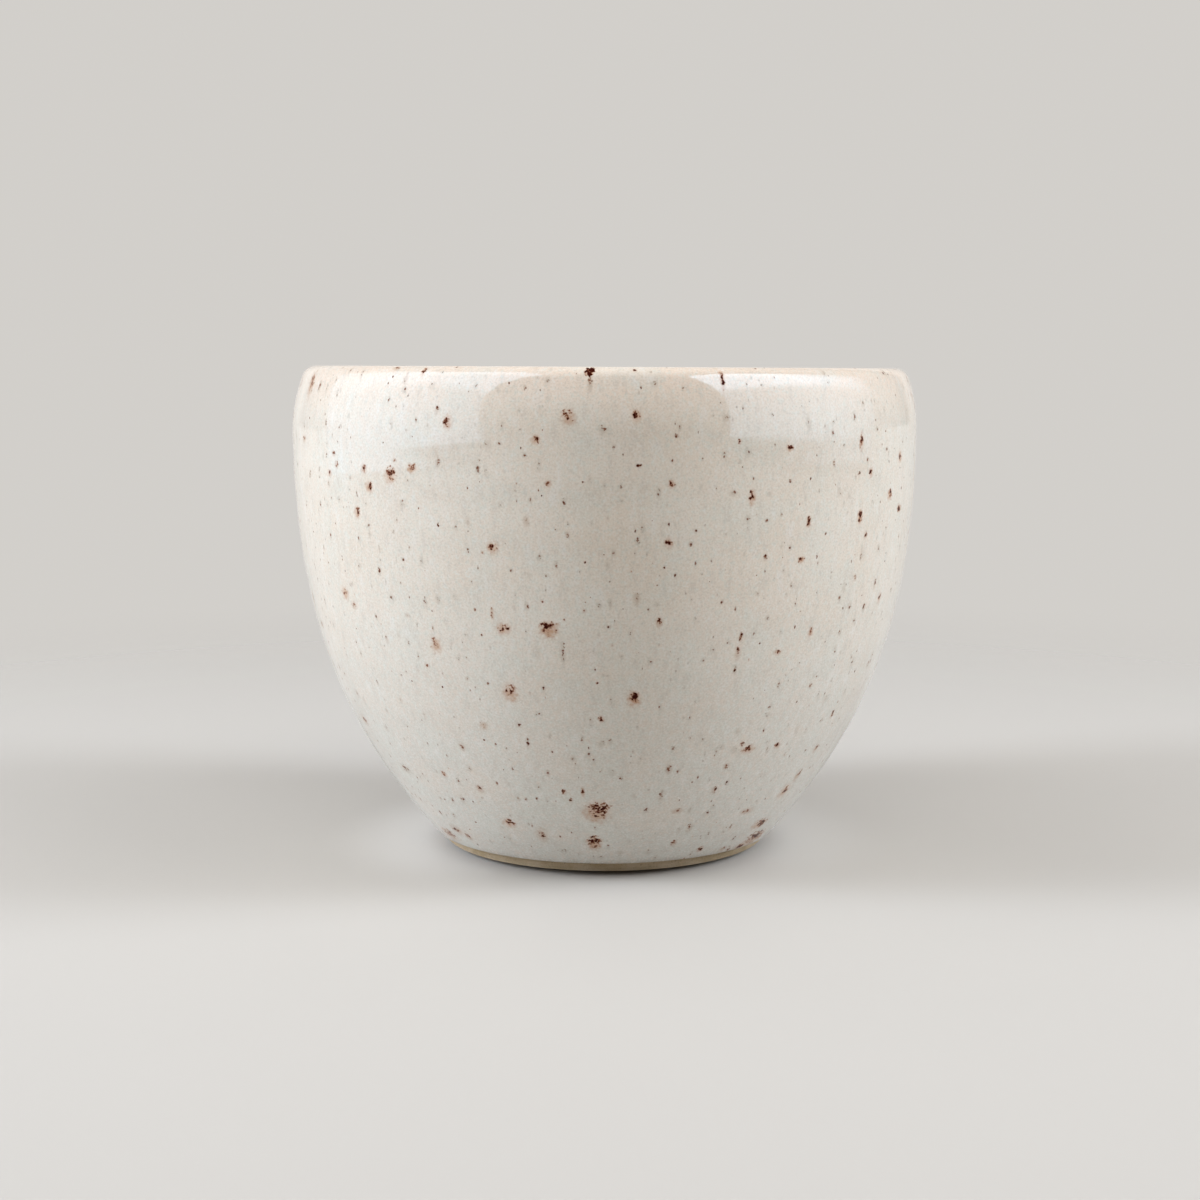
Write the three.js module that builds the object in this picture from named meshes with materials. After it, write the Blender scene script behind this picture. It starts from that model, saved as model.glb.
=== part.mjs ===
// Handleless coffee cup: a wheel-thrown stoneware body with a turned foot ring, glazed in two coats.
// The outer coat runs from the bare foot up to the crest of the lip, and the liner coat fills the inside.
// Millimetres, +Z up, origin on the table at the cup's axis.
import * as THREE from 'three';

// Finished form, over the glaze.
const CUP_HEIGHT = 70;
const BELLY_RADIUS = 45.2;
const SHOULDER_RISE = 8.2; // from the widest point up to the crest of the lip
const SHOULDER_RADIUS = 20; // curve that draws the wall in above the widest point
const LIP_THICKNESS = 4.2;

// Turned foot, bare clay.
const FOOT_RADIUS = 23.8;
const FOOT_BAND = 1.4; // upright edge below the wall
const FOOT_EDGE = 0.5; // rounded arris that meets the table
const FOOT_RING_WIDTH = 5;
const RECESS_DEPTH = 2;

// Thrown wall and floor, clay only.
const WALL_RISE = 48.5; // degrees above the table where the wall leaves the foot
const FOOT_PULL = 21; // how far the wall keeps that direction
const BELLY_PULL = 29; // how far the wall stands upright below the widest point
const WALL_AT_FOOT = 5;
const FLOOR_THICKNESS = 5;
const COVE_HEIGHT = 20; // where the inside wall runs out into the dished floor
const COVE_PULL = 11;
const FLOOR_PULL = 19;

// Glaze coats. Molten glaze runs, so it is thin on the lip and thick low down.
const GLAZE_AT_LIP = 0.35;
const GLAZE_AT_BELLY = 0.45;
const GLAZE_AT_FOOT = 0.7;
const LINER_POOL = 0.8; // liner coat in the middle of the floor
const GLAZE_STOP = 0.5; // bare wall left between the foot band and the outer coat
const BOND_GAP = 0.02; // hairline that keeps each coat a solid of its own

// Facets.
const TURNS = 56;
const WALL_STEPS = 10;
const SHOULDER_STEPS = 3;
const LIP_STEPS = 4; // each side of the crest
const INSIDE_STEPS = 8;
const FLOOR_STEPS = 5;
const ROUND_STEPS = 3;

// Finish.
const CLAY_COLOUR = 0xa9977c;
const CLAY_ROUGHNESS = 0.9;
const GLAZE_COLOUR = 0xe3dcd1;
const LINER_COLOUR = 0xe6e0d6;
const GLAZE_ROUGHNESS = 0.15;

const lerp = THREE.MathUtils.lerp;
const point = (radius, height) => new THREE.Vector2(radius, height);

// A station is a place on the clay's surface: its point, its outward normal and the glaze that lies on it.
function station(at, normal, glaze) {
  return { at, normal, glaze };
}

function raised(place, height) {
  return place.at.clone().addScaledVector(place.normal, height);
}

// Outward normal of a curve that climbs the outside of the cup.
function outward(curve, share) {
  const tangent = curve.getTangentAt(share);
  return point(tangent.y, -tangent.x);
}

function direction(degrees) {
  const angle = THREE.MathUtils.degToRad(degrees);
  return point(Math.cos(angle), Math.sin(angle));
}

// Points of an arc, both ends included.
function arc(centre, radius, from, to, steps) {
  const curve = new THREE.EllipseCurve(centre.x, centre.y, radius, radius, from, to, to < from);
  return curve.getPoints(steps);
}

// Shared places of the thrown form.
const claySkin = BELLY_RADIUS - GLAZE_AT_BELLY - BOND_GAP;
const belly = point(claySkin, CUP_HEIGHT - SHOULDER_RISE);
const lipRound = LIP_THICKNESS / 2 - GLAZE_AT_LIP - BOND_GAP;
const lipHeight = CUP_HEIGHT - LIP_THICKNESS / 2;
const shoulderCentre = point(belly.x - SHOULDER_RADIUS, belly.y);
const lean = Math.asin((lipHeight - belly.y) / (SHOULDER_RADIUS - lipRound));
const lipCentre = point(shoulderCentre.x + (SHOULDER_RADIUS - lipRound) * Math.cos(lean), lipHeight);
const floorTop = RECESS_DEPTH + FLOOR_THICKNESS;

// Outside of the clay wall, from the foot band to the widest point.
function wallCurve() {
  const foot = point(FOOT_RADIUS, FOOT_BAND);
  const leaving = foot.clone().addScaledVector(direction(WALL_RISE), FOOT_PULL);
  const arriving = point(belly.x, belly.y - BELLY_PULL);
  return new THREE.CubicBezierCurve(foot, leaving, arriving, belly);
}

// Clay thickness behind the outside wall, thinning from the foot to the lip.
function wallThickness(share) {
  return lerp(WALL_AT_FOOT, 2 * lipRound, share);
}

// Stations up the outside of the wall and over the shoulder, from the stop line of the glaze.
function outsideStations() {
  const wall = wallCurve();
  const stop = GLAZE_STOP / wall.getLength();
  const stations = [];
  for (let i = 0; i <= WALL_STEPS; i++) {
    const share = lerp(stop, 1, i / WALL_STEPS);
    const glaze = lerp(GLAZE_AT_FOOT, GLAZE_AT_BELLY, share);
    stations.push(station(wall.getPointAt(share), outward(wall, share), glaze));
  }
  for (let i = 1; i < SHOULDER_STEPS; i++) {
    const share = i / SHOULDER_STEPS;
    const angle = lean * share;
    const normal = point(Math.cos(angle), Math.sin(angle));
    const at = shoulderCentre.clone().addScaledVector(normal, SHOULDER_RADIUS);
    stations.push(station(at, normal, lerp(GLAZE_AT_BELLY, GLAZE_AT_LIP, share)));
  }
  return stations;
}

// Stations round the lip between two angles about its centre.
function lipStations(from, to) {
  const stations = [];
  for (let i = 0; i <= LIP_STEPS; i++) {
    const angle = lerp(from, to, i / LIP_STEPS);
    const normal = point(Math.cos(angle), Math.sin(angle));
    const at = lipCentre.clone().addScaledVector(normal, lipRound);
    stations.push(station(at, normal, GLAZE_AT_LIP));
  }
  return stations;
}

// Place on the inside of the wall, behind the given share of the outside wall.
function insidePlace(wall, share) {
  const normal = outward(wall, share);
  const at = wall.getPointAt(share).addScaledVector(normal, -wallThickness(share));
  return { at, normal: normal.negate() };
}

// Share of the wall whose inside lies at the cove's height, found by halving.
function coveShare(wall) {
  let low = 0;
  let high = 1;
  while (high - low > 1e-6) {
    const middle = (low + high) / 2;
    if (insidePlace(wall, middle).at.y < COVE_HEIGHT) low = middle;
    else high = middle;
  }
  return high;
}

// Stations down the inside: below the lip, down the wall, and across the dished floor to the axis.
function insideStations() {
  const wall = wallCurve();
  const cove = coveShare(wall);
  const stations = [];
  for (let i = 1; i <= SHOULDER_STEPS; i++) {
    const share = 1 - i / SHOULDER_STEPS;
    const angle = lean * share;
    const normal = point(-Math.cos(angle), -Math.sin(angle));
    const at = shoulderCentre.clone().addScaledVector(normal, 2 * lipRound - SHOULDER_RADIUS);
    stations.push(station(at, normal, GLAZE_AT_LIP));
  }
  for (let i = 1; i <= INSIDE_STEPS; i++) {
    const share = lerp(1, cove, i / INSIDE_STEPS);
    const place = insidePlace(wall, share);
    stations.push(station(place.at, place.normal, lerp(GLAZE_AT_LIP, GLAZE_AT_BELLY, i / INSIDE_STEPS)));
  }
  const edge = insidePlace(wall, cove);
  const downwards = point(edge.normal.y, -edge.normal.x).negate();
  const dish = new THREE.CubicBezierCurve(
    edge.at,
    edge.at.clone().addScaledVector(downwards, COVE_PULL),
    point(FLOOR_PULL, floorTop),
    point(0, floorTop),
  );
  for (let i = 1; i <= FLOOR_STEPS; i++) {
    const share = i / FLOOR_STEPS;
    const tangent = dish.getTangentAt(share);
    const glaze = lerp(GLAZE_AT_BELLY, LINER_POOL, share);
    stations.push(station(dish.getPointAt(share), point(tangent.y, -tangent.x), glaze));
  }
  return stations;
}

// Underside of the clay, from the axis out to the top of the foot band.
function footPoints() {
  const ringInside = FOOT_RADIUS - FOOT_RING_WIDTH;
  const fillet = arc(point(ringInside - RECESS_DEPTH, 0), RECESS_DEPTH, Math.PI / 2, 0, ROUND_STEPS);
  const edge = arc(point(FOOT_RADIUS - FOOT_EDGE, FOOT_EDGE), FOOT_EDGE, -Math.PI / 2, 0, ROUND_STEPS);
  return [point(0, RECESS_DEPTH), ...fillet, ...edge, point(FOOT_RADIUS, FOOT_BAND)];
}

// Section of a glaze coat over a run of stations.
function coatSection(stations) {
  const under = stations.map((place) => raised(place, BOND_GAP));
  const over = stations.map((place) => raised(place, BOND_GAP + place.glaze));
  return { under, over };
}

// Rounded bead where the outer coat stops, from its underside round to its face.
function beadPoints(under, over) {
  const middle = under.clone().lerp(over, 0.5);
  const across = over.clone().sub(under).multiplyScalar(0.5);
  const along = point(across.y, -across.x);
  const points = [];
  for (let i = 1; i <= ROUND_STEPS; i++) {
    const angle = (Math.PI * i) / (ROUND_STEPS + 1);
    points.push(
      middle.clone().addScaledVector(across, -Math.cos(angle)).addScaledVector(along, Math.sin(angle)),
    );
  }
  return points;
}

function turned(name, profile, colour, roughness) {
  const geometry = new THREE.LatheGeometry(profile, TURNS);
  geometry.rotateX(Math.PI / 2);
  const material = new THREE.MeshStandardMaterial({ color: colour, roughness, metalness: 0 });
  const mesh = new THREE.Mesh(geometry, material);
  mesh.name = name;
  return mesh;
}

// The two coats meet at the crest across the same hairline that parts them from the clay.
const crest = Math.PI / 2;
const seam = BOND_GAP / 2 / lipRound;
const outside = [...outsideStations(), ...lipStations(lean, crest - seam)];
const inside = [...lipStations(crest + seam, Math.PI + lean), ...insideStations()];

function stonewareBody() {
  const profile = [...footPoints(), ...outside.map((place) => place.at), ...inside.map((place) => place.at)];
  return turned('stoneware_body', profile, CLAY_COLOUR, CLAY_ROUGHNESS);
}

function outerGlaze() {
  const { under, over } = coatSection(outside);
  const bead = beadPoints(under[0], over[0]);
  const profile = [...over, ...under.reverse(), ...bead, over[0]];
  return turned('outer_glaze', profile, GLAZE_COLOUR, GLAZE_ROUGHNESS);
}

function linerGlaze() {
  const { under, over } = coatSection(inside);
  return turned('liner_glaze', [...under.reverse(), ...over], LINER_COLOUR, GLAZE_ROUGHNESS);
}

const cup = new THREE.Group();
cup.name = 'coffee_cup';
cup.add(stonewareBody(), outerGlaze(), linerGlaze());

export default cup;
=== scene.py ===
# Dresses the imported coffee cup: thrown clay under two coats of iron-spotted glaze,
# on a pale table in soft light.
# Lengths are in millimetres until they reach Blender, and angles are in degrees where they are named so.
import math

import bpy
import numpy as np
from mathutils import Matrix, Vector


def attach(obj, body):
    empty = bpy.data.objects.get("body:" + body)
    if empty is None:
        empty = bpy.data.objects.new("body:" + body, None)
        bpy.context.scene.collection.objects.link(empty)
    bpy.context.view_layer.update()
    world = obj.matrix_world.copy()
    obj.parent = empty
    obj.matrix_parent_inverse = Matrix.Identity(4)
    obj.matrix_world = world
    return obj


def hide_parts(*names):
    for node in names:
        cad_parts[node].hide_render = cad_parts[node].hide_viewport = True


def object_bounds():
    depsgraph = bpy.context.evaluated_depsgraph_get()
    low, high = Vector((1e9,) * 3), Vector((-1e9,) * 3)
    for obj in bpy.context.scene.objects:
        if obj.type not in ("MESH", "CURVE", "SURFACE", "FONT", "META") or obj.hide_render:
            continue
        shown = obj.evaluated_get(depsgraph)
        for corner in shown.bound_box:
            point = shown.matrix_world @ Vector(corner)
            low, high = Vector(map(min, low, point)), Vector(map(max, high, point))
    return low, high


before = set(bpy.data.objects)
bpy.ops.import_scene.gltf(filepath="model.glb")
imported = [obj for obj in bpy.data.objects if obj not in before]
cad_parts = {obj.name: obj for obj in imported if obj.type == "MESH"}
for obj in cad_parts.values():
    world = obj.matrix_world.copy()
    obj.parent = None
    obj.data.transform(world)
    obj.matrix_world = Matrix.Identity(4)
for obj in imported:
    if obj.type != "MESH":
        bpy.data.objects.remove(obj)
cad_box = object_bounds()

MM = 0.001
FULL_TURN = 2 * math.pi

# The finished form, over the glaze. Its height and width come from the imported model.
CUP_HEIGHT = cad_box[1].z / MM
BELLY_RADIUS = cad_box[1].x / MM
SHOULDER_RISE = 8.2
SHOULDER_RADIUS = 20
LIP_THICKNESS = 4.2

# The turned foot, bare clay: an upright band from its edge up to a small ledge under the wall.
FOOT_RADIUS = 23.8
FOOT_BAND = 1.4  # height where the wall's curve begins
FOOT_EDGE = 0.8
FOOT_ROUND = 0.15
FOOT_BEVEL = 3.2  # how far in from the band the underside comes down to the table
BAND_TOP = 2.1
FOOT_RING_WIDTH = 5
RING_ROUND = 0.4
RECESS_DEPTH = 2
FILLET_END = 0.15  # radians above the table where the recess's fillet ends

# Lines left by the turning tool: their depth and spacing in the recess and on the foot ring,
# and the distances from the axis over which they set in.
RECESS_LINE, RECESS_PITCH = 0.05, 1.3
RING_LINE, RING_PITCH = 0.02, 0.9
LINES_RISE = (0, 3)

# The thrown wall and floor, clay only.
WALL_RISE_DEGREES = 48.5
FOOT_PULL = 21
BELLY_PULL = 29
WALL_AT_FOOT = 5
FLOOR_THICKNESS = 5
COVE_HEIGHT = 20
COVE_PULL = 11
FLOOR_PULL = 19

# The glaze coats, thin on the lip and thick low down.
GLAZE_AT_LIP = 0.35
GLAZE_AT_BELLY = 0.45
GLAZE_AT_FOOT = 0.7
LINER_POOL = 0.8
GLAZE_STOP = 1.72
BOND_GAP = 0.02

# Mesh density: segments in a turn, the length of a face along the section, how many places of a
# hidden section go to one ring, and the steps that a curve is read by.
TURNS = 384
FINE_STEP = 0.6
LIP_STEP = 0.16
HIDDEN_SKIP = 8
CLAY_SKIP = 3
BEAD_STEPS = 9
CURVE_STEPS = 800
COVE_STEPS = 4000

# Rings on the stretches of the underside, from the axis outwards.
RECESS_STEPS, FILLET_STEPS, ROUND_STEPS, RING_STEPS = 70, 12, 8, 20
BEVEL_STEPS, EDGE_STEPS, BAND_STEPS = 7, 6, 9

# Small unevenness of a cup thrown by hand.
OVAL, OVAL_TURN = 0.16, 0.9
THREE_SIDED, THREE_SIDED_TURN = 0.06, -1.9
RIM_TILT = 0.0048
RIM_DRAWN_IN = 0.3
OUTSIDE_RIDGE = 0.018
INSIDE_RIDGE = 0.07
RIDGE_PITCH = 6.2
SLOW_RIDGE, SLOW_PITCH = 0.6, 1.7  # a second, slower ridge, as shares of the first

# Where the unevenness sets in or dies away: heights, and for the last one distances from the axis.
SWAY_RISES = (4, 60)
RIDGE_RISES = (7, 14)
RIDGE_FADES = (58, 65)
RIM_RISES = (60, 68)
OFF_AXIS = (4, 24)

# The camera: as far from the axis as the outline's fit puts it, at the height of the rim.
PHOTO_SIDE = 1200
FOCAL_PIXELS = 1900
SENSOR_WIDTH = 36
CAMERA_AWAY = 280.4
CAMERA_RIGHT = -0.7
CAMERA_HEIGHT = 70
CAMERA_DOWN_DEGREES = 7.0
CAMERA_SEES_FROM = 10

# A ring this close to the axis is a point, and a face this small has no direction; metres.
ON_AXIS = 1e-9
NO_AREA = 1e-15

turn_angles = np.arange(TURNS) / TURNS * FULL_TURN


def smooth(low, high, value):
    """Smooth step from 0 at low to 1 at high."""
    share = np.clip((value - low) / (high - low), 0, 1)
    return share * share * (3 - 2 * share)


def lerp(start, end, share):
    return start + (end - start) * share


class Run:
    """Places along the clay's section: points, outward normals and the glaze that lies on them."""

    def __init__(self, points, normals, glaze):
        self.points = np.asarray(points, float)
        self.normals = np.asarray(normals, float)
        self.glaze = np.broadcast_to(np.asarray(glaze, float), len(self.points))

    def raised(self, height):
        return self.points + self.normals * np.reshape(height, (-1, 1))

    def over(self):
        return self.raised(BOND_GAP + self.glaze)

    def under(self):
        return self.raised(BOND_GAP)


def joined(*runs):
    return Run(
        np.concatenate([run.points for run in runs]),
        np.concatenate([run.normals for run in runs]),
        np.concatenate([run.glaze for run in runs]),
    )


class Curve:
    """Cubic curve through a section, read by shares of its length."""

    def __init__(self, *corners):
        self.corners = [np.array(corner, float) for corner in corners]
        self.fine = np.linspace(0, 1, CURVE_STEPS)
        steps = np.linalg.norm(np.diff(self._at(self.fine), axis=0), axis=1)
        self.lengths = np.concatenate([[0], np.cumsum(steps)])
        self.length = self.lengths[-1]

    def _at(self, t):
        a, b, c, d = self.corners
        t = np.reshape(t, (-1, 1))
        return (1 - t) ** 3 * a + 3 * (1 - t) ** 2 * t * b + 3 * (1 - t) * t * t * c + t ** 3 * d

    def read(self, shares):
        """Points, and normals to the right of the curve's direction."""
        a, b, c, d = self.corners
        t = np.interp(np.asarray(shares) * self.length, self.lengths, self.fine)
        points = self._at(t)
        t = t.reshape(-1, 1)
        slope = (1 - t) ** 2 * (b - a) + 2 * (1 - t) * t * (c - b) + t * t * (d - c)
        slope /= np.linalg.norm(slope, axis=1, keepdims=True)
        return points, np.stack([slope[:, 1], -slope[:, 0]], 1)


def on_arc(centre, radius, angles):
    normals = np.stack([np.cos(angles), np.sin(angles)], 1)
    return np.array(centre) + radius * normals, normals


def steps_for(length, step):
    return max(3, int(round(length / step)) + 1)


# Shared places of the section.
belly = np.array([BELLY_RADIUS - GLAZE_AT_BELLY - BOND_GAP, CUP_HEIGHT - SHOULDER_RISE])
lip_round = LIP_THICKNESS / 2 - GLAZE_AT_LIP - BOND_GAP
shoulder_centre = belly - [SHOULDER_RADIUS, 0]
lean = math.asin((SHOULDER_RISE - LIP_THICKNESS / 2) / (SHOULDER_RADIUS - lip_round))
lip_centre = shoulder_centre + (SHOULDER_RADIUS - lip_round) * np.array([math.cos(lean), math.sin(lean)])
floor_top = RECESS_DEPTH + FLOOR_THICKNESS
wall_rise = math.radians(WALL_RISE_DEGREES)
wall = Curve(
    (FOOT_RADIUS, FOOT_BAND),
    (FOOT_RADIUS + FOOT_PULL * math.cos(wall_rise), FOOT_BAND + FOOT_PULL * math.sin(wall_rise)),
    belly - [0, BELLY_PULL],
    belly,
)


def outside_run():
    """From the glaze's stop line up the wall and over the shoulder to the crest of the lip."""
    shares = np.linspace(GLAZE_STOP / wall.length, 1, steps_for(wall.length, FINE_STEP))
    up_wall = Run(*wall.read(shares), lerp(GLAZE_AT_FOOT, GLAZE_AT_BELLY, shares))
    shares = np.linspace(0, 1, steps_for(SHOULDER_RADIUS * lean, FINE_STEP))[1:]
    thinning = lerp(GLAZE_AT_BELLY, GLAZE_AT_LIP, shares)
    shoulder = Run(*on_arc(shoulder_centre, SHOULDER_RADIUS, lean * shares), thinning)
    outer_lip = (math.pi / 2 - lean) * LIP_THICKNESS / 2
    turn = np.linspace(lean, math.pi / 2, steps_for(outer_lip, LIP_STEP))[1:]
    return joined(up_wall, shoulder, Run(*on_arc(lip_centre, lip_round, turn), GLAZE_AT_LIP))


def inner_wall(shares):
    """Points on the inside of the clay wall, and the normals of the outside in front of them."""
    points, normals = wall.read(shares)
    return points - normals * lerp(WALL_AT_FOOT, 2 * lip_round, shares)[:, None], normals


def inside_run():
    """From the crest of the lip down the wall and across the dished floor to the axis."""
    inner_lip = (math.pi / 2 + lean) * LIP_THICKNESS / 2
    turn = np.linspace(math.pi / 2, math.pi + lean, steps_for(inner_lip, LIP_STEP))
    lip = Run(*on_arc(lip_centre, lip_round, turn), GLAZE_AT_LIP)
    angles = np.linspace(lean, 0, steps_for(SHOULDER_RADIUS * lean, FINE_STEP))[1:]
    points, normals = on_arc(shoulder_centre, SHOULDER_RADIUS - 2 * lip_round, angles)
    shoulder = Run(points, -normals, GLAZE_AT_LIP)

    shares = np.linspace(1, 0, COVE_STEPS)
    points, _ = inner_wall(shares)
    cove = np.interp(-COVE_HEIGHT, -points[:, 1], shares)
    shares = np.linspace(1, cove, steps_for((1 - cove) * wall.length, FINE_STEP))[1:]
    points, normals = inner_wall(shares)
    thickening = lerp(GLAZE_AT_LIP, GLAZE_AT_BELLY, (1 - shares) / (1 - cove))
    down_wall = Run(points, -normals, thickening)

    downwards = np.array([normals[-1][1], -normals[-1][0]])
    dish = Curve(points[-1], points[-1] + COVE_PULL * downwards, (FLOOR_PULL, floor_top), (0, floor_top))
    shares = np.linspace(0, 1, steps_for(dish.length, FINE_STEP))[1:]
    floor = Run(*dish.read(shares), lerp(GLAZE_AT_BELLY, LINER_POOL, shares))
    floor.points[-1][0] = 0
    floor.normals[-1] = (0, 1)
    return joined(lip, shoulder, down_wall, floor)


def underside():
    """Bare clay from the axis over the turned recess and the foot ring up to the ledge under the wall."""
    ring_inside = FOOT_RADIUS - FOOT_RING_WIDTH
    flat = np.linspace(0, ring_inside - RECESS_DEPTH, RECESS_STEPS)
    lines = RECESS_LINE * np.sin(flat * FULL_TURN / RECESS_PITCH) * smooth(*LINES_RISE, flat)
    recess = np.stack([flat, RECESS_DEPTH + lines], 1)
    turn = np.linspace(math.pi / 2, FILLET_END, FILLET_STEPS)
    fillet, _ = on_arc((ring_inside - RECESS_DEPTH, 0), RECESS_DEPTH, turn)
    turn = np.linspace(math.pi, 1.5 * math.pi, ROUND_STEPS)
    round_in, _ = on_arc((ring_inside + RING_ROUND, RING_ROUND), RING_ROUND, turn)
    ring_outside = FOOT_RADIUS - FOOT_BEVEL
    across = np.linspace(ring_inside + 2 * RING_ROUND, ring_outside - RING_ROUND, RING_STEPS)
    ring = np.stack([across, RING_LINE + RING_LINE * np.sin(across * FULL_TURN / RING_PITCH)], 1)
    slant = math.atan2(FOOT_EDGE, FOOT_BEVEL)
    turn = np.linspace(slant - math.pi / 2, 0, EDGE_STEPS)
    edge, _ = on_arc((FOOT_RADIUS - FOOT_ROUND, FOOT_EDGE), FOOT_ROUND, turn)
    bevel = np.linspace((ring_outside, 0.0), edge[0], BEVEL_STEPS)[:-1]
    band = np.linspace((FOOT_RADIUS, FOOT_EDGE), (FOOT_RADIUS, BAND_TOP), BAND_STEPS)[1:]
    ledge, _ = wall.read([(BAND_TOP - FOOT_BAND) / math.sin(wall_rise) / wall.length])
    return np.concatenate([recess, fillet[1:], round_in, ring, bevel, edge, band, ledge])


def bead_points(low, high):
    """Rounded stop of a coat, from its underside at low round to its face at high, without those two."""
    across = (high - low) / 2
    down = np.array([across[1], -across[0]])
    turn = np.linspace(0, math.pi, BEAD_STEPS)[1:-1, None]
    return (low + high) / 2 - across * np.cos(turn) + down * np.sin(turn)


def swept(section, ridge):
    """Section points carried round the axis, with the unevenness of hand work; metres."""
    radius, height = section[:, :1], section[:, 1:]
    rising = smooth(*SWAY_RISES, height) * smooth(*OFF_AXIS, radius)
    sway = OVAL * np.cos(2 * turn_angles - OVAL_TURN)
    sway = rising * (sway + THREE_SIDED * np.cos(3 * turn_angles - THREE_SIDED_TURN))
    spiral = np.sin(FULL_TURN * height / RIDGE_PITCH - turn_angles)
    slow_pitch = RIDGE_PITCH * SLOW_PITCH
    spiral += SLOW_RIDGE * np.sin(FULL_TURN * height / slow_pitch - 2 * turn_angles + 1)
    spiral *= ridge * smooth(*RIDGE_RISES, height) * (1 - smooth(*RIDGE_FADES, height))
    drawn_in = RIM_DRAWN_IN * smooth(*RIM_RISES, height) * (1 - np.cos(turn_angles)) / 2
    radius = radius + sway + spiral - drawn_in * smooth(*OFF_AXIS, radius)
    height = height - RIM_TILT * rising * radius * np.cos(turn_angles)
    return np.stack([radius * np.cos(turn_angles), radius * np.sin(turn_angles), height], -1) * MM


def ring_list(grid):
    """Rings of a swept grid, with a ring on the axis drawn together to one point."""
    return [ring[:1] if np.hypot(*ring[0, :2]) < ON_AXIS else ring for ring in grid]


def sweep_mesh(name, rings, closed):
    """Mesh of quads between neighbouring rings; closed joins the last ring to the first."""
    starts = np.cumsum([0] + [len(ring) for ring in rings])
    around = np.arange(TURNS)
    onwards = (around + 1) % TURNS
    faces = []
    for low in range(len(rings) if closed else len(rings) - 1):
        high = (low + 1) % len(rings)
        corners = []
        for ring, columns in ((low, (around, onwards)), (high, (onwards, around))):
            if len(rings[ring]) > 1:
                corners += [starts[ring] + column for column in columns]
            else:
                corners += [np.full(TURNS, starts[ring])]
        if len(corners) > 2:
            faces += np.stack(corners, 1).tolist()
    mesh = bpy.data.meshes.new(name)
    mesh.from_pydata(np.concatenate(rings).tolist(), [], faces)
    mesh.shade_smooth()
    return mesh


def surface_normals(grid, along):
    """Unit normals of a swept grid whose rings lie at the given lengths along the section."""
    climb = np.gradient(grid, along, axis=0, edge_order=2)
    turn = np.roll(grid, -1, 1) - np.roll(grid, 1, 1)
    normals = np.cross(turn, climb)
    size = np.linalg.norm(normals, axis=2, keepdims=True)
    return np.where(size > NO_AREA, normals / np.maximum(size, NO_AREA), [0, 0, 1])


def run_lengths(section):
    return np.concatenate([[0], np.cumsum(np.linalg.norm(np.diff(section, axis=0), axis=1))])


# Iron spots. A row holds the spot's turn angle, its place along the section, half its width and height,
# how dark it is, and the place and size of its darkest core as shares of the spot.
SPOT_COLUMNS = 8
ANGLE, PLACE, WIDE, TALL, DEPTH, CORE_X, CORE_Y, CORE_SIZE = range(SPOT_COLUMNS)
SPOT_REACH = 1.7
SPARE_FACES = 2
LEAST_RADIUS = 2
SPOT_LAYERS = ("spot_offset", "spot_core")
FAR_FROM_SPOTS = (9, 9, 0)
NO_CORE = (0, 0, 1)
rng = np.random.default_rng(20)

# Kinds of strewn spots: half sizes and depths; for smudges and dots also the share that is drawn out.
SPOT_KIND = ((0.22, 1.1), (0.45, 1.08))
SMUDGE_KIND = ((0.18, 0.65), (0.15, 0.62), 0.7)
DOT_KIND = ((0.08, 0.20), (0.45, 1.0), 0.5)
SMUDGE_MARGIN, DOT_MARGIN = 0.9, 0.6
SMALL_BIAS = 1.7  # makes small spots commoner than large ones
DRAWN_OUT = (1.3, 2.6)
ROUND = (0.9, 1.3)

# How many are strewn, and the share of the larger ones that is drawn out.
BACK_SPOTS, BACK_LONG = 300, 0.45
INNER_SPOTS, INNER_LONG = 190, 0.35
OUTER_SPECKS = (2600, 520)
INNER_SPECKS = (1700, 340)
PHOTO_HALF_ANGLE = 1.25  # radians to either side of the camera that the photograph covers
MIDDLING_RADIUS = 40  # of the wall, to turn angles between spots into lengths

# A spot's dark core: its angle from the spot's middle, how far off it lies, and its share of the spot.
SMALL_SPOT = (0.25, 0.8)
CORE_TURNS = (0.15 * math.pi, 0.85 * math.pi)
CORE_OFF = (0.1, 0.45)
CORE_SHARES = (0.42, 0.60)
SMALL_CORE_SHARE = 0.70

# Reading spots off the photograph: the stretch of each sight line that is searched, the nudge in pixels
# that gives a pixel's size on the wall, the limits of that size, and what strengthens the depths.
SIGHT_BEFORE, SIGHT_BEHIND, SIGHT_STEPS = 60, 10, 1400
NUDGE = 2.0
PIXEL_WIDE = (0.1, 0.5)
PIXEL_TALL = (0.1, 0.3)
DEPTH_GAIN = 1.14

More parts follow.
